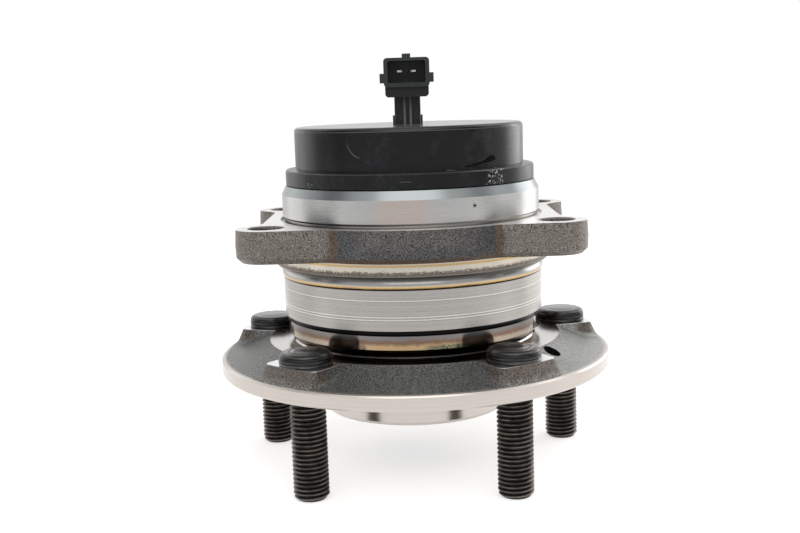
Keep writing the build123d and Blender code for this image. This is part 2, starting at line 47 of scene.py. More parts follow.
STUD_END_Z = -35.0 * MM
TABLE_COLOUR = (0.80, 0.80, 0.80, 1.0)
TABLE_FRONT_Y = -0.30
TABLE_BACK_Y = 2.5
TABLE_HALF_WIDTH = 2.0
TABLE_GLOW = 0.62
ROOM_WHITE = (1.0, 1.0, 1.0, 1.0)
ROOM_PALE = (0.56, 0.57, 0.59, 1.0)
ROOM_GREY = (0.50, 0.51, 0.53, 1.0)
ROOM_DARK = (0.16, 0.165, 0.18, 1.0)
ROOM_FILL = 0.62
TABLE_SIDES = ((-0.12, -0.32, 0.32), (0.12, 0.32, 0.45))
TABLE_SIDES_Y = (-0.06, 0.10)
TABLE_ROUGH = 0.9
TABLE_GLOSS = 0.1
ROOM_LOW_Z = (0.55, 0.38)
ROOM_HIGH_Z = (0.85, 0.65)
ROOM_BACK_Y = (0.85, 0.45)
ROOM_FRONT_Y = (-0.30, -0.55)
RIGHT_CURTAIN = tuple(math.radians(angle) for angle in (58, 70, 92, 82))
LEFT_CURTAIN = tuple(math.radians(angle) for angle in (-102, -94, -62, -70))
LAMPS = (
    ("front_overhead_lamp", (0.0, -0.50, 0.62), 0.62, 1.7),
    ("left_lamp", (-0.68, 0.42, 0.20), 0.45, 0.35),
    ("right_lamp", (0.62, 0.50, 0.22), 0.45, 1.25),
    ("high_right_lamp", (0.50, 0.20, 0.66), 0.35, 0.55),
)
LAMP_AIM = Vector((0.0, 0.0, 30.0)) * MM
CAMERA_PLACE = Vector((0.0, -393.66, 94.80)) * MM
CAMERA_LENS = 49.70
CAMERA_SENSOR_W = 36.0
CAMERA_NEAREST = 0.01
CAMERA_PITCH = math.radians(8.74)
CAMERA_YAW = math.radians(-0.65)
CAMERA_ROLL = math.radians(-1.86)


def put(tree, socket, value):
    """Links a node's output to a socket, or writes a plain value into it."""
    if isinstance(value, bpy.types.NodeSocket):
        tree.links.new(value, socket)
    else:
        socket.default_value = value


def reckon(tree, operation, first, second=0.0):
    """Sum, product or other arithmetic of two values."""
    node = tree.nodes.new("ShaderNodeMath")
    node.operation = operation
    put(tree, node.inputs[0], first)
    put(tree, node.inputs[1], second)
    return node.outputs[0]


def times(tree, first, *factors):
    """Product of the values."""
    for factor in factors:
        first = reckon(tree, "MULTIPLY", first, factor)
    return first


def rise(tree, value, start, end):
    """Smooth step from zero at start to one at end."""
    node = tree.nodes.new("ShaderNodeMapRange")
    node.interpolation_type = "SMOOTHSTEP"
    put(tree, node.inputs["Value"], value)
    node.inputs["From Min"].default_value = start
    node.inputs["From Max"].default_value = end
    return node.outputs["Result"]


def coat(tree, amount, under, over):
    """Colour under, covered by colour over in the given amount."""
    node = tree.nodes.new("ShaderNodeMix")
    node.data_type = "RGBA"
    put(tree, node.inputs[0], amount)
    put(tree, node.inputs[6], under)
    put(tree, node.inputs[7], over)
    return node.outputs[2]


def seen_rays(tree):
    """One for a ray from the camera, from polished metal or through glass, else zero."""
    path = tree.nodes.new("ShaderNodeLightPath")
    seen = path.outputs["Is Camera Ray"]
    for name in ("Is Glossy Ray", "Is Transmission Ray"):
        seen = reckon(tree, "MAXIMUM", seen, path.outputs[name])
    return seen


def beside_table(tree):
    """How much of the table's glow polished metal still finds there, less out at the sides."""
    split = tree.nodes.new("ShaderNodeSeparateXYZ")
    tree.links.new(tree.nodes.new("ShaderNodeTexCoord").outputs["Object"], split.inputs[0])
    behind = rise(tree, split.outputs["Y"], *TABLE_SIDES_Y)
    glow = 1.0
    for start, end, least in TABLE_SIDES:
        loss = times(tree, rise(tree, split.outputs["X"], start, end), behind, least - 1.0)
        glow = times(tree, glow, reckon(tree, "ADD", loss, 1.0))
    camera_ray = tree.nodes.new("ShaderNodeLightPath").outputs["Is Camera Ray"]
    return reckon(tree, "MAXIMUM", glow, camera_ray)


def table():
    mesh = bpy.data.meshes.new("table")
    sides = ((-TABLE_HALF_WIDTH, TABLE_FRONT_Y), (TABLE_HALF_WIDTH, TABLE_FRONT_Y),
             (TABLE_HALF_WIDTH, TABLE_BACK_Y), (-TABLE_HALF_WIDTH, TABLE_BACK_Y))
    corners = [(x, y, STUD_END_Z) for x, y in sides]
    mesh.from_pydata(corners, [], [(0, 1, 2, 3)])
    top = bpy.data.objects.new("table", mesh)
    bpy.context.collection.objects.link(top)
    material = bpy.data.materials.new("table_paint")
    material.use_nodes = True
    tree = material.node_tree
    paint = tree.nodes["Principled BSDF"]
    paint.inputs["Base Color"].default_value = TABLE_COLOUR
    paint.inputs["Roughness"].default_value = TABLE_ROUGH
    paint.inputs["Specular IOR Level"].default_value = TABLE_GLOSS
    paint.inputs["Emission Color"].default_value = ROOM_WHITE
    glow = times(tree, seen_rays(tree), TABLE_GLOW, beside_table(tree))
    tree.links.new(glow, paint.inputs["Emission Strength"])
    mesh.materials.append(material)


def room():
    world = bpy.data.worlds.new("room")
    bpy.context.scene.world = world
    world.use_nodes = True
    tree = world.node_tree
    wall = tree.nodes["Background"]
    way = tree.nodes.new("ShaderNodeTexCoord")
    split = tree.nodes.new("ShaderNodeSeparateXYZ")
    tree.links.new(way.outputs["Generated"], split.inputs[0])
    x, y, z = split.outputs
    bearing = reckon(tree, "ARCTAN2", x, times(tree, y, -1.0))
    camera_ray = tree.nodes.new("ShaderNodeLightPath").outputs["Is Camera Ray"]
    unseen = reckon(tree, "SUBTRACT", 1.0, camera_ray)
    low = rise(tree, z, *ROOM_LOW_Z)
    high = rise(tree, z, *ROOM_HIGH_Z)
    walls = (
        (rise(tree, y, *ROOM_BACK_Y), low, ROOM_PALE),
        (rise(tree, y, *ROOM_FRONT_Y), low, ROOM_GREY),
        (rise(tree, bearing, *RIGHT_CURTAIN[:2]), rise(tree, bearing, *RIGHT_CURTAIN[2:]), ROOM_DARK),
        (rise(tree, bearing, *LEFT_CURTAIN[:2]), rise(tree, bearing, *LEFT_CURTAIN[2:]), ROOM_DARK),
    )
    colour = ROOM_WHITE
    for across, height, tone in walls:
        colour = coat(tree, times(tree, unseen, across, height, high), colour, tone)
    tree.links.new(colour, wall.inputs["Color"])
    strength = tree.nodes.new("ShaderNodeMapRange")
    strength.inputs["To Min"].default_value = ROOM_FILL
    strength.inputs["To Max"].default_value = 1.0
    tree.links.new(seen_rays(tree), strength.inputs["Value"])
    tree.links.new(strength.outputs["Result"], wall.inputs["Strength"])


def soft_lamp(name, place, size, watts):
    """Square soft lamp that faces the middle of the bearing."""
    light = bpy.data.lights.new(name, "AREA")
    light.shape = "SQUARE"
    light.size = size
    light.energy = watts
    lamp = bpy.data.objects.new(name, light)
    bpy.context.collection.objects.link(lamp)
    aim = LAMP_AIM - Vector(place)
    lamp.location = place
    lamp.rotation_euler = aim.to_track_quat("-Z", "Y").to_euler()


def camera():
    turn, tilt, roll = CAMERA_YAW, CAMERA_PITCH, CAMERA_ROLL
    flat = math.cos(tilt)
    ahead = Vector((math.sin(turn) * flat, math.cos(turn) * flat, -math.sin(tilt)))
    sideways = Vector((math.cos(turn), -math.sin(turn), 0.0))
    upright = sideways.cross(ahead)
    right = sideways * math.cos(roll) + upright * math.sin(roll)
    up = upright * math.cos(roll) - sideways * math.sin(roll)
    lens = bpy.data.cameras.new("camera")
    lens.lens = CAMERA_LENS
    lens.sensor_width = CAMERA_SENSOR_W
    lens.clip_start = CAMERA_NEAREST
    eye = bpy.data.objects.new("camera", lens)
    bpy.context.collection.objects.link(eye)
    pose = Matrix((right, up, -ahead)).transposed().to_4x4()
    pose.translation = CAMERA_PLACE
    eye.matrix_world = pose
    bpy.context.scene.camera = eye


table()
room()
for lamp in LAMPS:
    soft_lamp(*lamp)
camera()
bpy.context.scene.view_settings.view_transform = "Standard"

# ---------------------------------------------------------------------------------- Hub
# The hub is one steel forging. Its flange keeps the dark shot-blasted forging skin, and the
# rim, wheel face, pilot, stud pads, seal annulus and spindle are turned bright. The spindle
# is rolled over the inner ring at the far end.

HUB_SKIN = (0.048, 0.051, 0.051, 1.0)
HUB_SKIN_MID = (0.25, 0.26, 0.25, 1.0)
# Pale skin: the blasting's light grains, painted side light on the flange, and a painted highlight at the pad
# walls' feet.
HUB_SKIN_SPECKLE_AND_PAINTED_LIGHT = (0.46, 0.46, 0.44, 1.0)
HUB_WALL = (0.285, 0.245, 0.215, 1.0)
HUB_WALL_DARK = (0.060, 0.050, 0.044, 1.0)
HUB_TURNED = (0.66, 0.605, 0.555, 1.0)
HUB_TURNED_DARK = (0.595, 0.545, 0.50, 1.0)
HUB_MACHINED = (0.86, 0.85, 0.84, 1.0)
HUB_HOLE_SHADE = (0.015, 0.015, 0.015, 1.0)
HUB_DARK_REFLECTION_AND_OIL = (0.045, 0.045, 0.044, 1.0)
HUB_ANNULUS = (0.62, 0.59, 0.57, 1.0)
HUB_SCREW_HOLE = (46.01, -31.04)
HUB_SCREW_HOLE_R = 2.86
HUB_RIM_Z = 5.0
HUB_PAD_Z = 10.5
HUB_ANNULUS_R = 52.0
HUB_FLAT = 0.12
HUB_FACE_ARC = ((69.0, 5.0), (60.192, 6.799), (52.0, 10.5))
HUB_PADS = 5
HUB_PAD_ANGLE = math.radians(-38.34)
PAD_W = 22.4
PAD_TIP_R = 65.8
PAD_START_R = 53.5
PAD_CORNER_R = 2.5
PAD_DRAFT = math.radians(24.0)
ROOT_CLIMB = 3.0
ROOT_SHARE = 0.60
ROOT_SPREAD = 1.25
ROOT_STEPS = 7
ROOT_HALVINGS = 30
ROOT_WIDEST = 3.2
ROOT_SUNK = 0.7
ROOT_LAP = 0.01
ROOT_MARGIN = 0.05
ROOT_LEAD = 0.15
SIDE_STEPS = 16
CORNER_STEPS = 8
TIP_STEPS = 6
SHARP_ROOT = math.radians(40)
LATHE_STREAK = 0.75
LATHE_TURN = 0.25
HUB_LATHE_DEPTH = 0.004
HUB_PIT_DEPTH = 0.14
RECESS_R = (25.3, 25.0)
RECESS_Z = (14.6, 14.2)
STEEP_SLOPE = (0.86, 0.70)
WALL_R = (58.5, 61.5)
WALL_FOOT_Z = (7.6, 5.4)
PAINTED_LIGHT_RIGHT_X = (28.0, 60.0)
PAINTED_LIGHT_LEFT_X = (-40.0, -62.0)
DARK_FRONT_X = (-27.0, 31.0)
DARK_FRONT_Y = (-28.0, -34.0)
ANNULUS_EDGE_R = (52.2, 51.9)
ANNULUS_Z = (9.8, 10.3)


def finish(name, metallic, tangent=False):
    """New material with its node tree and its shader; tangent gives it a lathe's streaks."""
    material = bpy.data.materials.new(name)
    material.use_nodes = True
    tree = material.node_tree
    shader = tree.nodes["Principled BSDF"]
    shader.inputs["Metallic"].default_value = metallic
    if tangent:
        round_axis = tree.nodes.new("ShaderNodeTangent")
        round_axis.direction_type = "RADIAL"
        round_axis.axis = "Z"
        tree.links.new(round_axis.outputs[0], shader.inputs["Tangent"])
        shader.inputs["Anisotropic"].default_value = LATHE_STREAK
        shader.inputs["Anisotropic Rotation"].default_value = LATHE_TURN
    return material, tree, shader


def apart(tree, first, second, place):
    """Distance of two coordinates from a place."""
    out = reckon(tree, "SUBTRACT", first, place[0])
    up = reckon(tree, "SUBTRACT", second, place[1])
    return reckon(tree, "SQRT", reckon(tree, "ADD", times(tree, out, out), times(tree, up, up)))


def measured(tree):
    """Place on the piece in millimetres: the point itself, x, y, z, and r from the axis."""
    place = tree.nodes.new("ShaderNodeTexCoord").outputs["Object"]
    scaled = tree.nodes.new("ShaderNodeVectorMath")
    scaled.operation = "SCALE"
    scaled.inputs["Scale"].default_value = 1.0 / MM
    tree.links.new(place, scaled.inputs[0])
    split = tree.nodes.new("ShaderNodeSeparateXYZ")
    tree.links.new(scaled.outputs[0], split.inputs[0])
    x, y, z = split.outputs
    return scaled.outputs[0], x, y, z, apart(tree, x, y, (0.0, 0.0))


def between(tree, value, low, high, soft):
    """One from low to high, with soft ends."""
    up = rise(tree, value, low - soft, low + soft)
    down = rise(tree, value, high - soft, high + soft)
    return reckon(tree, "SUBTRACT", up, down)


def level(tree, amount, low, high):
    """Plain value between low and high by the given amount."""
    node = tree.nodes.new("ShaderNodeMix")
    node.data_type = "FLOAT"
    put(tree, node.inputs[0], amount)
    put(tree, node.inputs[2], low)
    put(tree, node.inputs[3], high)
    return node.outputs[0]


def grain(tree, place, size, detail=3.0, rough=0.6):
    """Mottling whose lumps are about the given size in millimetres."""
    node = tree.nodes.new("ShaderNodeTexNoise")
    tree.links.new(place, node.inputs["Vector"])
    node.inputs["Scale"].default_value = 1.0 / size
    node.inputs["Detail"].default_value = detail
    node.inputs["Roughness"].default_value = rough
    return node.outputs["Fac"]


def sand(tree, place, size, amount=1.0):
    """Crisp pits and grains of the given size in millimetres, from zero to one."""
    return rise(tree, grain(tree, place, size, 2.0, 0.75), 0.5 - 0.17 / amount, 0.5 + 0.17 / amount)


def turning(tree, r, z, size, detail=2.0):
    """Rings left by a lathe tool: they change with r and z and run round the axis."""
    node = tree.nodes.new("ShaderNodeCombineXYZ")
    put(tree, node.inputs[0], r)
    put(tree, node.inputs[1], z)
    return grain(tree, node.outputs[0], size, detail, 0.7)


def relief(tree, shader, height, depth, under=None):
    """Bump of the given depth in millimetres, over another bump if there is one."""
    node = tree.nodes.new("ShaderNodeBump")
    node.inputs["Distance"].default_value = depth * MM
    node.inputs["Strength"].default_value = 1.0
    put(tree, node.inputs["Height"], height)
    if under is not None:
        tree.links.new(under, node.inputs["Normal"])
    tree.links.new(node.outputs[0], shader.inputs["Normal"])
    return node.outputs[0]


def dress(node, material):
    """Gives a frame piece its finish."""
    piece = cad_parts[node]
    for slot in piece.material_slots:
        slot.material = material


def hub_finish():
    material, tree, shader = finish("hub_forging", 1.0, tangent=True)
    place, x, y, z, r = measured(tree)
    fine = sand(tree, place, 0.34, 1.3)
    lines = turning(tree, r, z, 0.35)
    over_rim = rise(tree, z, HUB_RIM_Z + 0.02, HUB_RIM_Z + 0.2)
    on_face = times(tree, over_rim, rise(tree, z, HUB_PAD_Z - HUB_FLAT / 2, HUB_PAD_Z - HUB_FLAT))
    on_flange = rise(tree, r, HUB_ANNULUS_R - 0.6, HUB_ANNULUS_R - 0.1)
    skin = times(tree, on_face, on_flange)
    in_recess = times(tree, rise(tree, r, *RECESS_R), rise(tree, z, *RECESS_Z))
    skin = reckon(tree, "MAXIMUM", skin, in_recess)
    normal = tree.nodes.new("ShaderNodeTexCoord").outputs["Normal"]
    split = tree.nodes.new("ShaderNodeSeparateXYZ")
    tree.links.new(normal, split.inputs[0])
    steep = times(tree, rise(tree, split.outputs[2], *STEEP_SLOPE), on_flange)
    speckle = rise(tree, fine, 0.55, 0.95)
    forged = coat(tree, fine, HUB_SKIN, HUB_SKIN_MID)
    forged = coat(tree, times(tree, speckle, 0.25), forged, HUB_SKIN_SPECKLE_AND_PAINTED_LIGHT)
    walls = coat(tree, fine, HUB_WALL_DARK, HUB_WALL)
    # Painted side light: the forging skin is drawn paler towards the right side of the flange, and a little
    # towards the left.
    painted_light_right = rise(tree, x, *PAINTED_LIGHT_RIGHT_X)
    painted_side_light = reckon(tree, "MAXIMUM", painted_light_right, times(tree, rise(tree, x, *PAINTED_LIGHT_LEFT_X), 0.3))
    forged = coat(tree, times(tree, painted_side_light, level(tree, fine, 0.45, 1.0)), forged, HUB_SKIN_SPECKLE_AND_PAINTED_LIGHT)
    forged = coat(tree, times(tree, steep, rise(tree, r, *WALL_R)), forged, walls)
    # Painted highlight: pale speckles along the foot of the steep pad walls.
    painted_foot_highlight = times(tree, steep, rise(tree, z, *WALL_FOOT_Z))
    forged = coat(tree, times(tree, painted_foot_highlight, speckle), forged, HUB_SKIN_SPECKLE_AND_PAINTED_LIGHT)
    turned = coat(tree, rise(tree, lines, 0.3, 0.75), HUB_TURNED_DARK, HUB_TURNED)
    on_pad = rise(tree, z, HUB_PAD_Z - HUB_FLAT, HUB_PAD_Z - HUB_FLAT / 2)
    turned = coat(tree, on_pad, turned, HUB_MACHINED)
    # Painted shade: the inside of the screw hole is drawn near black.
    hole_shade = rise(tree, apart(tree, x, y, HUB_SCREW_HOLE), HUB_SCREW_HOLE_R + 0.04, HUB_SCREW_HOLE_R)
    # Painted dark reflection with some oil: the front of the seal annulus is drawn dark where it mirrors the
    # dark gap under the outer ring's nose, all but the edge of the step.
    dark_reflection_and_oil = times(tree, between(tree, x, *DARK_FRONT_X, 6.0), rise(tree, y, *DARK_FRONT_Y))
    on_annulus = times(tree, rise(tree, r, *ANNULUS_EDGE_R), rise(tree, z, *ANNULUS_Z))
    turned = coat(tree, on_annulus, turned, HUB_ANNULUS)
    step_edge = between(tree, z, HUB_PAD_Z + 0.06, HUB_PAD_Z + 0.46, 0.03)
    dark_reflection_and_oil = times(tree, dark_reflection_and_oil, on_annulus, reckon(tree, "SUBTRACT", 1.0, step_edge))
    turned = coat(tree, dark_reflection_and_oil, turned, HUB_DARK_REFLECTION_AND_OIL)
    colour = coat(tree, skin, turned, forged)
    tree.links.new(coat(tree, hole_shade, colour, HUB_HOLE_SHADE), shader.inputs["Base Color"])
    smooth = level(tree, lines, 0.26, 0.34)
    smooth = level(tree, on_pad, smooth, 0.20)
    put(tree, shader.inputs["Roughness"], level(tree, skin, smooth, level(tree, fine, 0.24, 0.40)))
    bare = reckon(tree, "SUBTRACT", 1.0, skin)
    under = relief(tree, shader, times(tree, lines, bare), HUB_LATHE_DEPTH)
    relief(tree, shader, times(tree, fine, skin), HUB_PIT_DEPTH, under)
    return material


def face_height(r):
    """Height of the flange's hollow face at a radius."""
    (r1, z1), (r2, z2), (r3, z3) = HUB_FACE_ARC
    a, b = r2 - r1, z2 - z1
    c, d = r3 - r1, z3 - z1
    e, f = a * (r1 + r2) + b * (z1 + z2), c * (r1 + r3) + d * (z1 + z3)
    g = 2.0 * (a * (z3 - z2) - b * (r3 - r2))
    centre_r, centre_z = (d * e - b * f) / g, (a * f - c * e) / g
    radius = math.hypot(r1 - centre_r, z1 - centre_z)
    return centre_z - math.sqrt(radius ** 2 - (r - centre_r) ** 2)


def pad_outline():
    """Points and outward normals round a pad's top, from one inner end to the other."""
    half, tip, corner = PAD_W / 2, PAD_TIP_R, PAD_CORNER_R
    corner_y = half - corner
    corner_x = math.sqrt((tip - corner) ** 2 - corner_y ** 2)
    turn = math.atan2(corner_y, corner_x)
    line = []
    for step in range(SIDE_STEPS):
        line.append((PAD_START_R + (corner_x - PAD_START_R) * step / SIDE_STEPS, half, math.pi / 2))
    for step in range(CORNER_STEPS + 1):
        about = math.pi / 2 + (turn - math.pi / 2) * step / CORNER_STEPS
        line.append((corner_x + corner * math.cos(about), corner_y + corner * math.sin(about), about))
    for step in range(1, TIP_STEPS + 1):
        about = turn - turn * step / TIP_STEPS
        line.append((tip * math.cos(about), tip * math.sin(about), about))
    return line + [(x, -y, -about) for x, y, about in reversed(line[:-1])]


def root_section(x, y, about):
    """Section of the hollow root between a pad's drafted wall and the flange face."""
    slope = math.tan(PAD_DRAFT)
    across, up = math.cos(about), math.sin(about)
    low, high = 0.0, ROOT_WIDEST
    for _ in range(ROOT_HALVINGS):
        out = (low + high) / 2
        wall_z = HUB_PAD_Z - out / slope
        if wall_z > face_height(min(math.hypot(x + across * out, y + up * out), HUB_FACE_ARC[0][0])):
            low = out
        else:
            high = out
    foot_z = HUB_PAD_Z - out / slope
    tall = (HUB_PAD_Z - foot_z) / math.cos(PAD_DRAFT)
    climb = min(ROOT_CLIMB, ROOT_SHARE * tall)
    room_left = HUB_FACE_ARC[0][0] - ROOT_MARGIN - math.hypot(x + across * out, y + up * out)
    lead = (x * across + y * up) / math.hypot(x, y)
    spread = min(ROOT_SPREAD * climb, room_left / max(lead, ROOT_LEAD))
    start = (out - climb * math.sin(PAD_DRAFT) - ROOT_LAP, foot_z + climb * math.cos(PAD_DRAFT))
    far = out + spread
    end = (far, face_height(math.hypot(x + across * far, y + up * far)) - ROOT_LAP)
    points = []
    for step in range(ROOT_STEPS + 1):
        t = step / ROOT_STEPS
        points.append(tuple((1 - t) ** 2 * a + 2 * t * (1 - t) * b + t * t * c
                            for a, b, c in zip(start, (out, foot_z), end)))
    points.append((out - ROOT_SUNK, foot_z - ROOT_SUNK))
    return [(x + across * off, y + up * off, height) for off, height in points]


def pad_roots(material):
    """Hollow roots round all five pads, part of the same forging."""
    corners, faces = [], []
    for number in range(HUB_PADS):
        angle = HUB_PAD_ANGLE + number * math.tau / HUB_PADS
        radial, tangent = (math.sin(angle), -math.cos(angle)), (math.cos(angle), math.sin(angle))
        rows = [root_section(*point) for point in pad_outline()]
        width = len(rows[0])
        first = len(corners)
        for row in rows:
            for x, y, z in row:
                across, up = x * radial[0] + y * tangent[0], x * radial[1] + y * tangent[1]
                corners.append((across * MM, up * MM, z * MM))
        for step in range(len(rows) - 1):
            for part in range(width):
                a = first + step * width + part
                b = first + step * width + (part + 1) % width
                faces.append((a, b, b + width, a + width))
        faces.append(tuple(range(first, first + width)))
        last = first + (len(rows) - 1) * width
        faces.append(tuple(range(last + width - 1, last - 1, -1)))
    mesh = bpy.data.meshes.new("pad_roots")
    mesh.from_pydata(corners, [], faces)
    shape = bmesh.new()
    shape.from_mesh(mesh)
    bmesh.ops.recalc_face_normals(shape, faces=shape.faces)
    shape.to_mesh(mesh)
    shape.free()
    mesh.materials.append(material)
    mesh.shade_smooth()
    mesh.set_sharp_from_angle(angle=SHARP_ROOT)
    roots = bpy.data.objects.new("pad_roots", mesh)
    bpy.context.collection.objects.link(roots)
    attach(roots, "hub_assembly")


hub_forging = hub_finish()
dress("hub", hub_forging)
pad_roots(hub_forging)

# ------------------------------------------------------------------------- Wheel studs
# Five studs are cold formed, rolled with a 1.5 mm thread, blacked, and pressed through the
# flange from the inboard side. Each round head is faced in a lathe, which leaves rings on
# its bevel, and a knurled neck keeps it from turning.

STUD_COUNT = 5
STUD_CIRCLE_R = 57.15
STUD_FIRST_ANGLE = math.radians(-38.34)
STUD_R = 5.95
STUD_L = 35.0
THREAD_PITCH = 1.5
THREAD_DEPTH = 0.82
THREAD_TOP_Z = 0.0
THREAD_POINT = 1.2
THREAD_STEPS = 56
STUD_WELD = 0.002
SHARP_STUD = math.radians(24)
NECK_R = 6.55
NECK_L = 9.85
HEAD_BASE_Z = 10.52
HEAD_SHAPE = (
    (8.35, 0.0), (8.66, 0.12), (8.80, 0.45), (8.80, 0.95), (8.48, 1.14), (8.48, 1.26),
    (8.79, 1.46), (8.77, 1.88), (8.42, 2.06), (8.42, 2.18), (8.70, 2.40), (8.60, 2.78),
    (8.28, 2.96), (8.40, 3.12), (8.16, 3.42), (7.84, 3.66), (7.46, 3.83), (7.05, 3.90),
    (6.96, 3.87), (6.86, 3.91), (5.20, 3.99), (5.12, 3.97), (5.04, 4.00), (2.60, 4.07),
    (0.0, 4.10),
)
HEAD_TOP_R = 7.1
STUD_BLACK = (0.019, 0.0185, 0.0195, 1.0)
STUD_CREST_WEAR_AND_HIGHLIGHT = (0.20, 0.17, 0.145, 1.0)
STUD_WORN = (0.15, 0.125, 0.105, 1.0)
HEAD_FACED = (0.10, 0.10, 0.105, 1.0)
HEAD_SIDE = (0.062, 0.061, 0.062, 1.0)
THREAD_SHAPE = ((0.0, 0.0), (0.13, 0.0), (0.5, 1.0), (0.63, 1.0))


def head_outline():
    """Neck and head of a stud, from the thread up to the middle of the crown."""
    neck = [(NECK_R, HEAD_BASE_Z - NECK_L), (NECK_R, HEAD_BASE_Z)]
    return neck + [(r, HEAD_BASE_Z + z) for r, z in HEAD_SHAPE]


def thread_ring(step, angle):
    """Radius and height on one helical line of the thread, kept between its two ends."""
    turn, part = divmod(step, len(THREAD_SHAPE))
    along, cut = THREAD_SHAPE[part]
    low = -STUD_L
    z = low + (turn - 1 + along + angle / math.tau) * THREAD_PITCH
    z = min(max(z, low), THREAD_TOP_Z)
    point = THREAD_POINT * (1 - min(1.0, (z - low) / THREAD_POINT))
    fade = min(1.0, max(0.0, (THREAD_TOP_Z - z) / THREAD_PITCH))
    return min(STUD_R - cut * THREAD_DEPTH * fade, STUD_R - point), z


def stud_corner(body, r, z, about):
    """New corner of a stud at a radius, height and angle."""
    return body.verts.new((r * math.cos(about), r * math.sin(about), z))


def wheel_stud(number, material):
    angle = STUD_FIRST_ANGLE + number * math.tau / STUD_COUNT
    body = bmesh.new()
    lines = int((STUD_L + THREAD_TOP_Z) / THREAD_PITCH + 2) * len(THREAD_SHAPE)
    rows = []
    for step in range(lines):
        row = []
        for side in range(THREAD_STEPS):
            about = side * math.tau / THREAD_STEPS
            row.append(stud_corner(body, *thread_ring(step, about), about))
        rows.append(row)
    pitch_lines = len(THREAD_SHAPE)
    for step in range(lines - 1):
        near, far = rows[step], rows[step + 1]
        for side in range(THREAD_STEPS - 1):
            body.faces.new((near[side], near[side + 1], far[side + 1], far[side]))
        if step + pitch_lines + 1 < lines:
            seam = THREAD_STEPS - 1
            body.faces.new((near[seam], rows[step + pitch_lines][0],
                            rows[step + pitch_lines + 1][0], far[seam]))
    turns = [side * math.tau / THREAD_STEPS for side in range(THREAD_STEPS)]
    below = [stud_corner(body, STUD_R, THREAD_TOP_Z, about) for about in turns]
    for r, z in head_outline():
        if r == 0.0:
            tip = body.verts.new((0.0, 0.0, z))
            for side in range(THREAD_STEPS):
                body.faces.new((below[side], below[(side + 1) % THREAD_STEPS], tip))
            break
        ring = [stud_corner(body, r, z, about) for about in turns]
        for side in range(THREAD_STEPS):
            after = (side + 1) % THREAD_STEPS
            body.faces.new((below[side], below[after], ring[after], ring[side]))
        below = ring
    bmesh.ops.remove_doubles(body, verts=body.verts, dist=STUD_WELD)
    open_edges = [edge for edge in body.edges if len(edge.link_faces) == 1]
    bmesh.ops.holes_fill(body, edges=open_edges, sides=0)
    bmesh.ops.recalc_face_normals(body, faces=body.faces)
    bmesh.ops.scale(body, vec=(MM, MM, MM), verts=body.verts)
    name = "stud_" + str(number + 1)
    mesh = bpy.data.meshes.new(name)
    body.to_mesh(mesh)
    body.free()
    mesh.materials.append(material)
    piece = bpy.data.objects.new(name, mesh)
    bpy.context.collection.objects.link(piece)
    piece.location = (STUD_CIRCLE_R * MM * math.sin(angle), -STUD_CIRCLE_R * MM * math.cos(angle), 0.0)
    mesh.shade_smooth()
    mesh.set_sharp_from_angle(angle=SHARP_STUD)
    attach(piece, "hub_assembly")
    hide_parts("wheel_stud_" + str(number + 1))


def stud_finish():
    material, tree, shader = finish("stud_blacking", 0.8)
    place, _, _, z, r = measured(tree)
    fine = grain(tree, place, 0.45, 3.0, 0.7)
    broad = grain(tree, place, 4.0, 2.0, 0.5)
    worn = times(tree, rise(tree, fine, 0.5, 0.75), rise(tree, broad, 0.35, 0.65))
    on_head = rise(tree, z, HEAD_BASE_Z, HEAD_BASE_Z + 0.2)
    faced = times(tree, on_head, rise(tree, r, HEAD_TOP_R + 0.2, HEAD_TOP_R))
    black = coat(tree, on_head, STUD_BLACK, coat(tree, faced, HEAD_SIDE, HEAD_FACED))
    # Thread crests drawn lighter: partly worn blacking, partly painted highlight.
    crest_wear_and_highlight = times(tree, rise(tree, r, STUD_R - 0.45, STUD_R - 0.08), rise(tree, z, 0.0, -0.2))
    black = coat(tree, times(tree, crest_wear_and_highlight, rise(tree, broad, 0.2, 0.6)), black, STUD_CREST_WEAR_AND_HIGHLIGHT)
    tree.links.new(coat(tree, worn, black, STUD_WORN), shader.inputs["Base Color"])
    smooth = level(tree, on_head, level(tree, fine, 0.26, 0.42), 0.22)
    put(tree, shader.inputs["Roughness"], level(tree, faced, smooth, 0.13))
    relief(tree, shader, fine, 0.02)
    return material


stud_blacking = stud_finish()
for number in range(STUD_COUNT):
    wheel_stud(number, stud_blacking)

# --------------------------------------------------------------- Balls and their cages
# Two rows of fourteen hardened and lapped balls run in two moulded cages of glass-filled
# polyamide, snapped over the balls. They are packed with grease and shut in by the seals.

BALL_STEEL = (0.60, 0.60, 0.61, 1.0)
CAGE_AMBER = (0.43, 0.27, 0.10, 1.0)
CAGE_AMBER_DARK = (0.28, 0.16, 0.055, 1.0)


def ball_finish():
    material, tree, shader = finish("lapped_ball_steel", 1.0)
    place = measured(tree)[0]
    film = grain(tree, place, 2.5, 3.0, 0.5)
    shader.inputs["Base Color"].default_value = BALL_STEEL
    put(tree, shader.inputs["Roughness"], level(tree, film, 0.06, 0.16))
    return material


def cage_finish():
    material, tree, shader = finish("cage_polyamide", 0.0)
    place = measured(tree)[0]
    flow = grain(tree, place, 5.0, 4.0, 0.6)
    tree.links.new(coat(tree, flow, CAGE_AMBER_DARK, CAGE_AMBER), shader.inputs["Base Color"])
    shader.inputs["Roughness"].default_value = 0.45
    relief(tree, shader, grain(tree, place, 0.5), 0.04)
    return material


ball_steel = ball_finish()
cage_polyamide = cage_finish()
for row in ("outboard", "inboard"):
    dress(row + "_cage", cage_polyamide)
    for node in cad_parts:
        if node.startswith(row + "_ball_"):
            dress(node, ball_steel)

# -------------------------------------------------------------------------- Inner ring
# The inboard inner ring is through-hardened bearing steel, ground all over and slid on the
# spindle before its end is rolled over.

RACE_GREY = (0.52, 0.51, 0.50, 1.0)


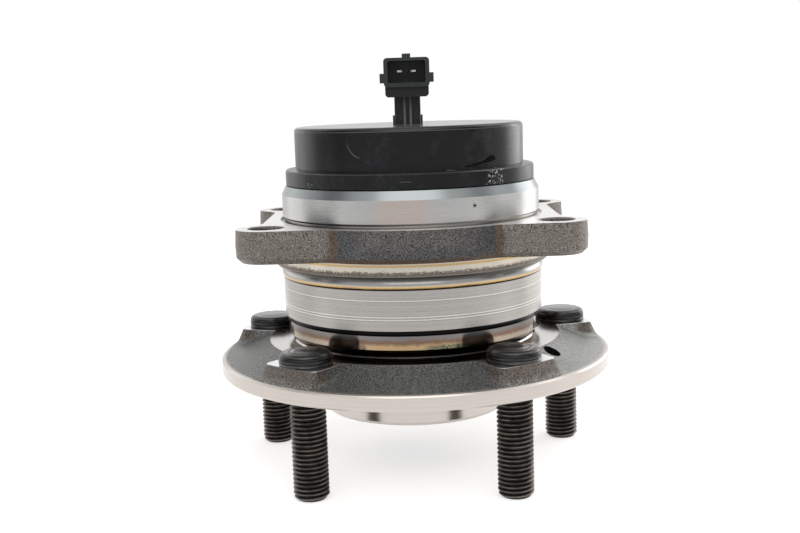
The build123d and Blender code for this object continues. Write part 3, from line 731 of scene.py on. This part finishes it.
def ground_finish():
    material, tree, shader = finish("ground_race_steel", 1.0)
    _, _, _, z, r = measured(tree)
    lines = turning(tree, r, z, 0.25)
    shader.inputs["Base Color"].default_value = RACE_GREY
    put(tree, shader.inputs["Roughness"], level(tree, lines, 0.12, 0.28))
    relief(tree, shader, lines, 0.008)
    return material


dress("inner_ring", ground_finish())

# --------------------------------------------------------------------------- Outer ring
# The outer ring is a steel forging with four ears. Its nose, body, spigot and the flange's
# upper face are turned, the rest keeps its blasted forging skin. Hardening the two races
# from inside has left straw, brown and blue heat tints on the steel next to them.

RING_TURNED = (0.535, 0.510, 0.475, 1.0)
RING_TURNED_DARK = (0.43, 0.41, 0.385, 1.0)
RING_BRIGHT = (0.80, 0.78, 0.74, 1.0)
RING_BEIGE = (0.72, 0.66, 0.56, 1.0)
DARK_TEAR_AND_SHADE = (0.115, 0.11, 0.10, 1.0)
RING_FACED = (0.80, 0.79, 0.77, 1.0)
SPIGOT_GROUND = (0.615, 0.61, 0.59, 1.0)
SPIGOT_ROSE = (0.66, 0.565, 0.51, 1.0)
CHAMFER_GREY = (0.31, 0.33, 0.33, 1.0)
FORGED_DARK = (0.058, 0.050, 0.044, 1.0)
FORGED_GREY = (0.44, 0.395, 0.35, 1.0)
FORGED_PIT = (0.038, 0.032, 0.028, 1.0)
ROUGH_BAND = (0.36, 0.31, 0.26, 1.0)
ROUGH_BAND_DARK = (0.13, 0.105, 0.085, 1.0)
TINT_BLUE_DARK = (0.024, 0.026, 0.029, 1.0)
TINT_BLUE = (0.188, 0.192, 0.198, 1.0)
TINT_SLATE_DARK = (0.030, 0.027, 0.027, 1.0)
TINT_SLATE = (0.285, 0.262, 0.247, 1.0)
TINT_BROWN_DARK = (0.065, 0.045, 0.036, 1.0)
TINT_BROWN = (0.25, 0.19, 0.15, 1.0)
TINT_UMBER = (0.040, 0.024, 0.016, 1.0)
TINT_STRAW = (0.41, 0.285, 0.155, 1.0)
TINT_BEIGE = (0.38, 0.315, 0.255, 1.0)
TINT_GOLD = (0.62, 0.42, 0.19, 1.0)
TINT_PURPLE = (0.185, 0.115, 0.080, 1.0)
TINT_STEEL_BLUE = (0.19, 0.178, 0.172, 1.0)
TINT_MIDDLE_X = 1.4
TINT_HALF_W = 25.5
ROSE_X = (-11.0, 6.0)
NICK_PLACE = (20.6, 59.6)
NICK_R = 0.55
GROOVE_SHADE_AND_OIL = (0.012, 0.012, 0.012, 1.0)
GREASE = (0.045, 0.050, 0.034, 1.0)
GREASE_LIGHT = (0.34, 0.31, 0.20, 1.0)
NOSE_Z = 12.7
GROOVE_Z = 18.3
BODY_Z = 19.8
BEAD_Z = 33.6
BEAD_DULL = (0.46, 0.45, 0.43, 1.0)
BEAD_TOP_Z = 36.5
SHOULDER_Z = 38.0
PLATE_Z = 42.3
PLATE_TOP_Z = 53.3
SPIGOT_Z = 54.7
SPIGOT_TOP_Z = 62.3
SHINY_LINES_Z = (30.0, 24.6, 23.7)
FRONT_Y = (0.0, -10.0)
RING_LATHE_DEPTH = 0.006
RING_PIT_DEPTH = 0.09
FACED_R = (46.4, 46.9)
GROOVE_R = (46.4, 45.9)
RELIEF_R = (46.5, 46.0)
RELIEF_SHADE_X = (34.0, -30.0)
PLATE_R = (46.6, 46.9)
STRAW_MIDDLE_X = 2.0
STRAW_SIDE_X = (12.0, 26.0)
TINT_BLUE_X = (13.0, 22.0)
EARS_Y = (36.0, 38.0)
GREASE_X = (4.0, 17.0)


def sway(tree, mottling, reach):
    """Shift to both sides of nothing, as far as half the reach, that follows the mottling."""
    return times(tree, reckon(tree, "SUBTRACT", mottling, 0.5), reach)


def outer_ring_finish():
    material, tree, shader = finish("outer_ring_steel", 1.0, tangent=True)
    place, x, y, z, r = measured(tree)
    fine = sand(tree, place, 0.28, 1.4)
    middle = grain(tree, place, 2.2, 3.0, 0.65)
    broad = grain(tree, place, 9.0, 3.0, 0.6)
    lines = turning(tree, r, z, 0.30)
    lathe = rise(tree, lines, 0.32, 0.72)

    shiny, torn = 0.0, 0.0
    for line in SHINY_LINES_Z:
        shiny = reckon(tree, "ADD", shiny, between(tree, z, line - 0.14, line + 0.14, 0.08))
        torn = reckon(tree, "ADD", torn, between(tree, z, line - 0.42, line - 0.24, 0.08))
    turned = coat(tree, lathe, RING_TURNED_DARK, RING_TURNED)
    turned = coat(tree, shiny, turned, RING_BRIGHT)
    turned = coat(tree, times(tree, torn, 0.45), turned, DARK_TEAR_AND_SHADE)
    rosy = times(tree, between(tree, x, *ROSE_X, 5.0), rise(tree, y, *FRONT_Y))
    ground = coat(tree, rosy, SPIGOT_GROUND, SPIGOT_ROSE)
    ground = coat(tree, times(tree, lathe, 0.15), ground, RING_TURNED)
    ground = coat(tree, rise(tree, z, SPIGOT_TOP_Z - 0.05, SPIGOT_TOP_Z + 0.05), ground, CHAMFER_GREY)
    nick = reckon(tree, "ADD", apart(tree, x, z, NICK_PLACE), times(tree, fine, 0.45))
    nick = times(tree, rise(tree, nick, NICK_R + 0.25, NICK_R + 0.15), rise(tree, y, *FRONT_Y))
    ground = coat(tree, nick, ground, FORGED_PIT)
    turned = coat(tree, rise(tree, z, PLATE_TOP_Z + 0.5, SPIGOT_Z), turned, ground)
    faced = between(tree, z, PLATE_TOP_Z - 0.03, PLATE_TOP_Z + 0.3, 0.02)
    faced = times(tree, faced, rise(tree, r, *FACED_R))
    turned = coat(tree, faced, turned, RING_FACED)
    groove = between(tree, z, GROOVE_Z - 0.03, BODY_Z + 0.15, 0.06)
    groove = times(tree, groove, rise(tree, r, *GROOVE_R))
    relieved = between(tree, z, PLATE_TOP_Z - 1.2, PLATE_TOP_Z - 0.1, 0.1)
    relieved = times(tree, relieved, rise(tree, r, *RELIEF_R))

    wavy_z = reckon(tree, "ADD", z, sway(tree, middle, 1.8))
    nose = coat(tree, rise(tree, wavy_z, GROOVE_Z - 0.8, GROOVE_Z - 2.2), TINT_STEEL_BLUE, TINT_PURPLE)
    from_straw = reckon(tree, "ABSOLUTE", reckon(tree, "SUBTRACT", x, STRAW_MIDDLE_X))
    straw = coat(tree, rise(tree, from_straw, *STRAW_SIDE_X), TINT_STRAW, TINT_BEIGE)
    nose = coat(tree, rise(tree, wavy_z, GROOVE_Z - 2.2, GROOVE_Z - 3.6), nose, straw)
    on_nose = rise(tree, z, GROOVE_Z + 0.1, GROOVE_Z)
    turned = coat(tree, on_nose, turned, nose)
    bead = between(tree, z, BEAD_Z - 0.1, BEAD_TOP_Z + 0.3, 0.08)
    bead_tone = coat(tree, rise(tree, z, BEAD_Z + 1.5, BEAD_Z + 0.8), BEAD_DULL, TINT_GOLD)
    turned = coat(tree, bead, turned, bead_tone)
    # Painted shade: the hollow fillet between the bead and the shoulder is drawn dark.
    fillet_shade = between(tree, z, BEAD_TOP_Z + 0.25, SHOULDER_Z + 0.2, 0.3)
    turned = coat(tree, fillet_shade, turned, DARK_TEAR_AND_SHADE)
    turned = coat(tree, between(tree, z, BEAD_Z - 0.25, BEAD_Z + 0.35, 0.15), turned, TINT_UMBER)
    # Painted shade: the groove between nose and body is drawn near black, as shade with a little oil, and the
    # relief under the spigot is drawn dark on the left only, fading out to the right.
    shaded_grooves = reckon(tree, "MAXIMUM", groove, times(tree, relieved, rise(tree, x, *RELIEF_SHADE_X)))
    turned = coat(tree, shaded_grooves, turned, GROOVE_SHADE_AND_OIL)

    ragged_z = reckon(tree, "ADD", wavy_z, sway(tree, fine, 0.9))
    under = between(tree, ragged_z, SHOULDER_Z + 1.5, PLATE_Z + 2.0, 0.12)
    under = times(tree, under, rise(tree, z, PLATE_Z + 0.05, PLATE_Z))
    gold = between(tree, z, PLATE_Z - 1.05, PLATE_Z - 0.30, 0.3)
    colour = coat(tree, under, turned, coat(tree, gold, RING_BEIGE, TINT_GOLD))

    skin = coat(tree, fine, FORGED_DARK, FORGED_GREY)
    wander = sway(tree, broad, 5.0)
    beside = reckon(tree, "ABSOLUTE", reckon(tree, "SUBTRACT", x, TINT_MIDDLE_X))
    spread = reckon(tree, "ADD", beside, wander)
    blue = coat(tree, fine, TINT_BLUE_DARK, TINT_BLUE)
    slate = coat(tree, fine, TINT_SLATE_DARK, TINT_SLATE)
    brown = coat(tree, fine, TINT_BROWN_DARK, TINT_BROWN)
    depth = reckon(tree, "ADD", z, wander)
    deep = rise(tree, depth, PLATE_Z + 7.5, PLATE_Z + 1.5)
    bluish = reckon(tree, "MAXIMUM", deep, rise(tree, spread, *TINT_BLUE_X))
    tinted = coat(tree, times(tree, bluish, 0.8), slate, blue)
    tinted = coat(tree, rise(tree, spread, TINT_HALF_W - 0.8, TINT_HALF_W + 0.4), tinted, brown)
    on_ears = rise(tree, reckon(tree, "ABSOLUTE", y), *EARS_Y)
    faces_out = times(tree, rise(tree, z, PLATE_Z - 0.4, PLATE_Z), on_ears)
    near_middle = times(tree, rise(tree, spread, TINT_HALF_W + 4.0, TINT_HALF_W + 1.5), faces_out)
    rough_band = coat(tree, fine, ROUGH_BAND_DARK, ROUGH_BAND)
    skin = coat(tree, rise(tree, z, PLATE_Z, PLATE_Z - 0.3), skin, rough_band)
    skin = coat(tree, near_middle, skin, tinted)
    edge_glow = times(tree, near_middle, rise(tree, z, PLATE_Z + 2.0, PLATE_Z + 1.0))
    skin = coat(tree, times(tree, edge_glow, 0.8), skin, brown)

    on_plate = between(tree, z, PLATE_Z + 0.02, PLATE_TOP_Z - 0.05, 0.02)
    on_shoulder = between(tree, z, SHOULDER_Z + 0.25, PLATE_Z + 0.02, 0.1)
    on_shoulder = times(tree, on_shoulder, reckon(tree, "SUBTRACT", 1.0, under))
    outside = rise(tree, r, *PLATE_R)
    forged = times(tree, reckon(tree, "MAXIMUM", on_plate, on_shoulder), outside)
    colour = coat(tree, forged, colour, skin)
    low = rise(tree, wavy_z, NOSE_Z + 2.6, NOSE_Z + 1.9)
    front = times(tree, between(tree, x, *GREASE_X, 2.0), rise(tree, y, *FRONT_Y))
    greased = times(tree, low, front)
    colour = coat(tree, greased, colour, coat(tree, rise(tree, fine, 0.45, 0.85), GREASE, GREASE_LIGHT))
    tree.links.new(colour, shader.inputs["Base Color"])
    smooth = level(tree, lines, 0.22, 0.34)
    smooth = level(tree, on_nose, smooth, 0.13)
    smooth = level(tree, between(tree, z, SPIGOT_TOP_Z, SPIGOT_TOP_Z + 4.0, 0.05), smooth, 0.34)
    put(tree, shader.inputs["Roughness"], level(tree, forged, smooth, 0.42))
    bare = reckon(tree, "SUBTRACT", 1.0, reckon(tree, "MAXIMUM", forged, on_nose))
    first = relief(tree, shader, times(tree, lines, bare), RING_LATHE_DEPTH)
    blasted = reckon(tree, "ADD", fine, times(tree, middle, 0.6))
    relief(tree, shader, times(tree, blasted, forged), RING_PIT_DEPTH, first)
    return material


dress("outer_ring", outer_ring_finish())

# ------------------------------------------------------------------------------- Seals
# The outboard seal is a pressed steel case with a bonded nitrile lip that runs on the hub.
# The cap has a round rubber ring in its skirt groove.

RUBBER_BLACK = (0.020, 0.020, 0.020, 1.0)
RUBBER_DUSTY = (0.045, 0.044, 0.042, 1.0)
CASE_GREY = (0.42, 0.41, 0.395, 1.0)


def rubber_finish():
    material, tree, shader = finish("nitrile_rubber", 0.0)
    place = measured(tree)[0]
    dust = grain(tree, place, 1.5, 4.0, 0.7)
    tree.links.new(coat(tree, dust, RUBBER_BLACK, RUBBER_DUSTY), shader.inputs["Base Color"])
    put(tree, shader.inputs["Roughness"], level(tree, dust, 0.35, 0.6))
    relief(tree, shader, grain(tree, place, 0.3), 0.02)
    return material


def pressed_finish():
    material, tree, shader = finish("pressed_steel", 1.0)
    place = measured(tree)[0]
    rolled = grain(tree, place, 1.2, 4.0, 0.6)
    shader.inputs["Base Color"].default_value = CASE_GREY
    put(tree, shader.inputs["Roughness"], level(tree, rolled, 0.25, 0.45))
    relief(tree, shader, rolled, 0.02)
    return material


nitrile_rubber = rubber_finish()
pressed_steel = pressed_finish()
dress("seal_case", pressed_steel)
dress("seal_lip", nitrile_rubber)
dress("cap_seal_ring", nitrile_rubber)

# ------------------------------------------------------------------------ Encoder ring
# A pressed carrier sits on the inner ring with a magnetised rubber ring bonded to its face.
# The sensing chip reads its poles as they pass.

dress("encoder_carrier", pressed_steel)
dress("encoder_ring", nitrile_rubber)

# --------------------------------------------------------------------------------- Cap
# The cap is one moulding in black glass-filled polyamide, pressed into the outer ring down
# to its band. Its skin is satin, with handling scratches and a little assembly grease.

CAP_BLACK = (0.0048, 0.0048, 0.0052, 1.0)
CAP_DUST = (0.86, 0.90, 1.0, 1.0)
DUST_WEIGHT = 0.13
DUST_ROUGH = 0.28
CAP_PARTING_HIGHLIGHT_Z = 84.0
CAP_GLINT = (0.50, 0.50, 0.50, 1.0)
CAP_SCUFFED = (0.070, 0.070, 0.072, 1.0)
CAP_CLOUD = (0.030, 0.0305, 0.033, 1.0)
CAP_SCRATCH_AND_HIGHLIGHT = (0.17, 0.17, 0.175, 1.0)
CAP_DRUM_R = 40.26
CAP_TOP_Z = 85.2
SCRATCHES = (
    (-14.9, 81.6, 6.13, -20.7, -16.5, -1.0, 0.13),
    (-1.2, 56.0, 12.0, -2.8, 0.4, 1.0, 0.08),
    (13.0, 62.0, 9.0, 11.6, 14.4, 1.0, 0.08),
)
CAP_INK = (0.0015, 0.0015, 0.0015, 1.0)
WET_PATCH = (24.6, 31.1, 65.9, 70.3)
DARK_SPOT = (-35.6, -33.0, 66.4, 67.1)
FILM_SUNK = 0.02
FILM_PROUD = 0.03
SMEAR = (
    (18.3, 71.85, 0.10), (20.5, 71.95, 0.22), (22.5, 72.30, 0.30), (24.5, 72.55, 0.34),
    (26.7, 73.05, 0.50), (27.8, 73.50, 0.85), (29.3, 73.85, 1.05), (30.6, 74.10, 0.95),
    (31.2, 73.80, 0.60), (31.6, 73.60, 0.15),
)
TRAIL = ((19.5, 71.55, 0.06), (23.0, 71.70, 0.14), (27.0, 71.85, 0.12), (30.5, 72.00, 0.05))


def cap_finish():
    material, tree, shader = finish("cap_polyamide", 0.0)
    place, x, y, z, _ = measured(tree)
    fine = grain(tree, place, 0.35, 3.0, 0.7)
    middle = grain(tree, place, 2.0, 4.0, 0.7)
    cloudy = grain(tree, place, 12.0, 4.0, 0.6)
    along = times(tree, reckon(tree, "ARCTAN2", x, times(tree, y, -1.0)), CAP_DRUM_R)
    scuffs = rise(tree, grain(tree, place, 0.9, 5.0, 0.85), 0.66, 0.76)
    scuffs = times(tree, scuffs, rise(tree, cloudy, 0.46, 0.58))
    shader.inputs["Sheen Weight"].default_value = DUST_WEIGHT
    shader.inputs["Sheen Roughness"].default_value = DUST_ROUGH
    shader.inputs["Sheen Tint"].default_value = CAP_DUST
    clouds = times(tree, rise(tree, cloudy, 0.48, 0.70), rise(tree, middle, 0.35, 0.65))
    colour = coat(tree, clouds, CAP_BLACK, CAP_CLOUD)
    # Painted highlight: a light line along the parting line, just under the roof's rounded edge.
    parting_highlight = between(tree, z, CAP_PARTING_HIGHLIGHT_Z - 0.22, CAP_PARTING_HIGHLIGHT_Z - 0.06, 0.05)
    colour = coat(tree, parting_highlight, colour, CAP_SCRATCH_AND_HIGHLIGHT)
    colour = coat(tree, scuffs, colour, CAP_SCUFFED)
    for across, height, bow, start, end, side, width in SCRATCHES:
        from_bow = reckon(tree, "SUBTRACT", apart(tree, along, z, (across, height)), bow)
        on_bow = rise(tree, reckon(tree, "ABSOLUTE", from_bow), width * 1.6, width * 0.4)
        in_length = between(tree, along, start, end, 0.5)
        up = reckon(tree, "SUBTRACT", z, height)
        on_side = reckon(tree, "GREATER_THAN", times(tree, up, side), 0.0)
        line = times(tree, on_bow, in_length, on_side, rise(tree, fine, 0.3, 0.5))
        colour = coat(tree, line, colour, CAP_SCRATCH_AND_HIGHLIGHT)
    wet = 0.0
    for start, end, low, high in (WET_PATCH, DARK_SPOT):
        edge_z = reckon(tree, "ADD", z, sway(tree, middle, 5.0))
        edge_along = reckon(tree, "ADD", along, sway(tree, middle, 5.0))
        patch = times(tree, between(tree, edge_along, start, end, 0.4), between(tree, edge_z, low, high, 0.2))
        wet = reckon(tree, "MAXIMUM", wet, patch)
    # Painted glints: white specks in the wet grease stand for glints of light on it.
    painted_glints = sand(tree, place, 0.8, 1.5)
    colour = coat(tree, wet, colour, coat(tree, rise(tree, painted_glints, 0.80, 0.95), CAP_INK, CAP_GLINT))
    on_top = rise(tree, z, CAP_TOP_Z - 0.4, CAP_TOP_Z - 0.05)
    satin = level(tree, on_top, level(tree, cloudy, 0.16, 0.36), 0.16)
    put(tree, shader.inputs["Roughness"], level(tree, wet, satin, 0.12))
    tree.links.new(colour, shader.inputs["Base Color"])
    shader.inputs["Specular IOR Level"].default_value = 0.40
    relief(tree, shader, fine, 0.012)
    return material


def smear(name, line, material):
    """Thin film of assembly grease along a line of places on the drum, each with its half width."""
    corners = []
    for along, z, half in line:
        about = along / CAP_DRUM_R
        for r in (CAP_DRUM_R - FILM_SUNK, CAP_DRUM_R + FILM_PROUD):
            for height in (z - half, z + half):
                corners.append((r * MM * math.sin(about), -r * MM * math.cos(about), height * MM))
    faces = [(0, 2, 3, 1)]
    for step in range(len(line) - 1):
        a, b = 4 * step, 4 * step + 4
        faces += [(a, a + 1, b + 1, b), (a + 2, b + 2, b + 3, a + 3)]
        faces += [(a, b, b + 2, a + 2), (a + 1, a + 3, b + 3, b + 1)]
    last = 4 * len(line) - 4
    faces.append((last, last + 1, last + 3, last + 2))
    mesh = bpy.data.meshes.new(name)
    mesh.from_pydata(corners, [], faces)
    mesh.materials.append(material)
    film = bpy.data.objects.new(name, mesh)
    bpy.context.collection.objects.link(film)
    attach(film, "outer_ring_assembly")


def grease_finish():
    material, _, shader = finish("assembly_grease", 0.0)
    shader.inputs["Base Color"].default_value = CAP_INK
    shader.inputs["Roughness"].default_value = 0.5
    shader.inputs["Specular IOR Level"].default_value = 0.08
    return material


dress("cap_shell", cap_finish())
assembly_grease = grease_finish()
smear("grease_smear", SMEAR, assembly_grease)
smear("grease_trail", TRAIL, assembly_grease)

# ------------------------------------------------------------------------- Speed sensor
# The sensor is moulded round its chip and two tinned blades in black polyamide. Its ribbed
# stem passes up from the cap and carries a keyed two-way socket.

SOCKET_BLACK = (0.013, 0.013, 0.0135, 1.0)
SOCKET_GREY = (0.055, 0.055, 0.057, 1.0)
SOCKET_RIM = (0.036, 0.040, 0.041, 1.0)
SOCKET_MOUTH_Y = -11.0
STEM_FRONT_Y = -5.0
STEM_TOP_Z = (97.0, 96.0)
STEM_RIB_HIGHLIGHT = (0.22, 0.22, 0.215, 1.0)
TIN = (0.78, 0.76, 0.70, 1.0)


def socket_finish():
    material, tree, shader = finish("socket_polyamide", 0.0)
    place, _, y, z, _ = measured(tree)
    fine = grain(tree, place, 0.3, 3.0, 0.7)
    cloudy = grain(tree, place, 4.0, 3.0, 0.6)
    colour = coat(tree, rise(tree, cloudy, 0.5, 0.8), SOCKET_BLACK, SOCKET_GREY)
    rim = rise(tree, y, SOCKET_MOUTH_Y + 0.35, SOCKET_MOUTH_Y + 0.05)
    colour = coat(tree, rim, colour, SOCKET_RIM)
    # Painted highlight: the fronts of the stem's ribs are drawn light.
    rib_highlight = between(tree, y, STEM_FRONT_Y - 0.6, STEM_FRONT_Y - 0.40, 0.03)
    rib_highlight = times(tree, rib_highlight, rise(tree, z, *STEM_TOP_Z))
    tree.links.new(coat(tree, rib_highlight, colour, STEM_RIB_HIGHLIGHT), shader.inputs["Base Color"])
    put(tree, shader.inputs["Roughness"], level(tree, fine, 0.28, 0.42))
    relief(tree, shader, fine, 0.02)
    return material


def tin_finish():
    material, tree, shader = finish("tinned_brass", 1.0)
    place = measured(tree)[0]
    drawn = grain(tree, place, 0.4, 3.0, 0.6)
    shader.inputs["Base Color"].default_value = TIN
    put(tree, shader.inputs["Roughness"], level(tree, drawn, 0.15, 0.32))
    return material


socket_polyamide = socket_finish()
tinned_brass = tin_finish()
dress("sensor_housing", socket_polyamide)
dress("sensor_element", socket_polyamide)
dress("sensor_terminal_1", tinned_brass)
dress("sensor_terminal_2", tinned_brass)
